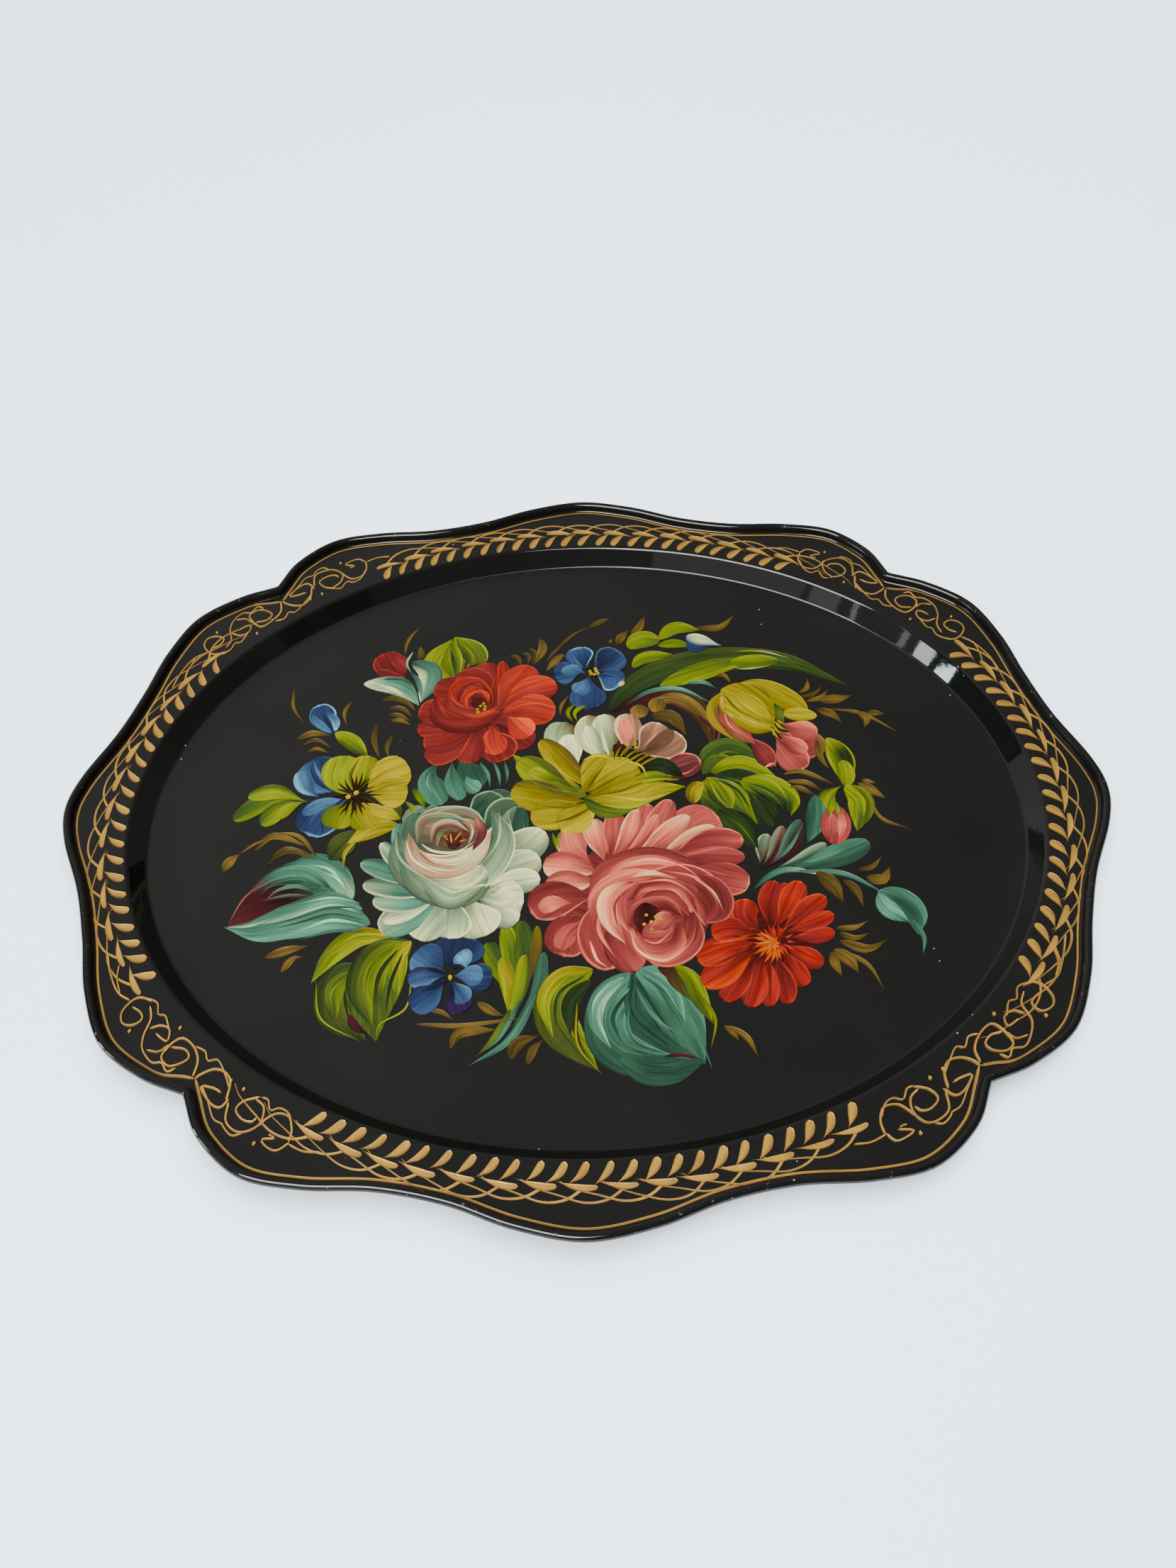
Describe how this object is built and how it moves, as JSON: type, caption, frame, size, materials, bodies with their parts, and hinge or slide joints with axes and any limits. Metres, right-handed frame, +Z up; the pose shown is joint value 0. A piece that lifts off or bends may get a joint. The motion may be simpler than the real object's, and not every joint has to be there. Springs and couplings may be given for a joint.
{
  "type": "painted serving tray",
  "caption": "Oval serving tray of black lacquered sheet steel with a shallow flat well, a wide flange, a scalloped outline with notches and a rolled edge over a wire.",
  "frame": {"origin": "centre of the underside, on the plane the tray stands on", "axes": "+X along the long side, +Y along the short side towards the top of the painting, +Z up out of the well"},
  "size_m": [0.46, 0.377, 0.0138],
  "materials": {
    "black_lacquer": "glossy black lacquer, satin on the floor of the well",
    "steel_wire": "plain drawn steel wire",
    "gold_paint": "bronze-powder gold paint in thin brush strokes",
    "oil_paint": "oil paint in layered brush strokes under clear lacquer"
  },
  "bodies": {
    "root": {"tray_sheet": "black_lacquer", "rim_wire": "steel_wire"}
  },
  "joints": []
}
